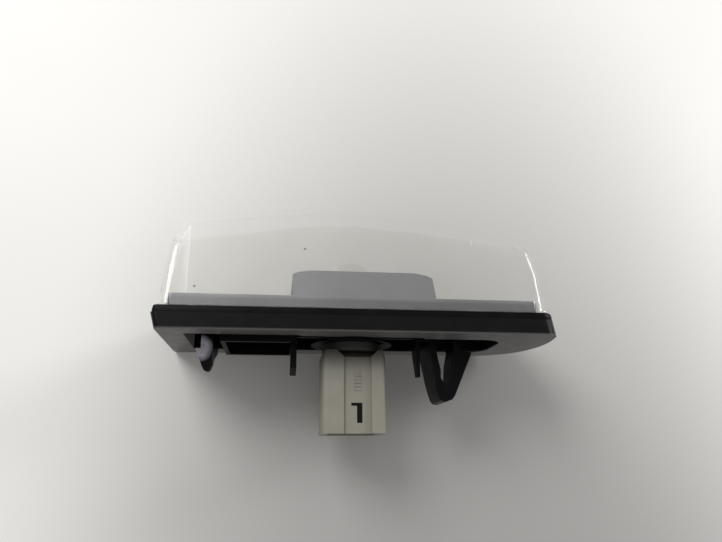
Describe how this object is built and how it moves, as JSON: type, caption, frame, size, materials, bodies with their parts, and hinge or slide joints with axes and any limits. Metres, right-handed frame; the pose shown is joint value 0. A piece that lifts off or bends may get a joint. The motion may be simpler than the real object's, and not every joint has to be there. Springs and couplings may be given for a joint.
{
  "type": "number plate lamp",
  "caption": "Long snap-in lamp with a clear wedge-shaped lens, black housing with hook and spring clip, flat seal and twist-out bulb holder.",
  "frame": {"origin": "on the axis of the bulb holder, in the plane where the seal rests on the panel", "axes": "+X along the lamp towards the spring clip, +Y across it towards the tall side of the lens, +Z out of the panel towards the lens"},
  "size_m": [0.0872, 0.03, 0.0572],
  "materials": {
    "seal_rubber": "dull black moulded rubber",
    "housing_plastic": "black moulded plastic with a slight sheen",
    "lens_clear": "clear polished moulded plastic",
    "reflector_metallised": "bright metallised plastic",
    "holder_plastic": "beige grey moulded plastic",
    "contact_brass": "stamped tinned brass",
    "bulb_glass": "clear glass",
    "filament_wire": "coiled tungsten wire",
    "lead_wire": "drawn nickel wire"
  },
  "bodies": {
    "lamp": {"gasket": "seal_rubber", "housing": "housing_plastic", "lens": "lens_clear", "reflector": "reflector_metallised"},
    "holder": {"bulb_holder": "holder_plastic", "contact_left": "contact_brass", "contact_right": "contact_brass", "bulb_glass": "bulb_glass", "bulb_filament": "filament_wire", "bulb_lead_left": "lead_wire", "bulb_lead_right": "lead_wire"}
  },
  "joints": [
    {"name": "holder_twist", "type": "hinge", "parent": "lamp", "child": "holder", "pos_m": [0, 0, 0], "axis": [0, 0, -1], "range_deg": [0, 45]}
  ]
}
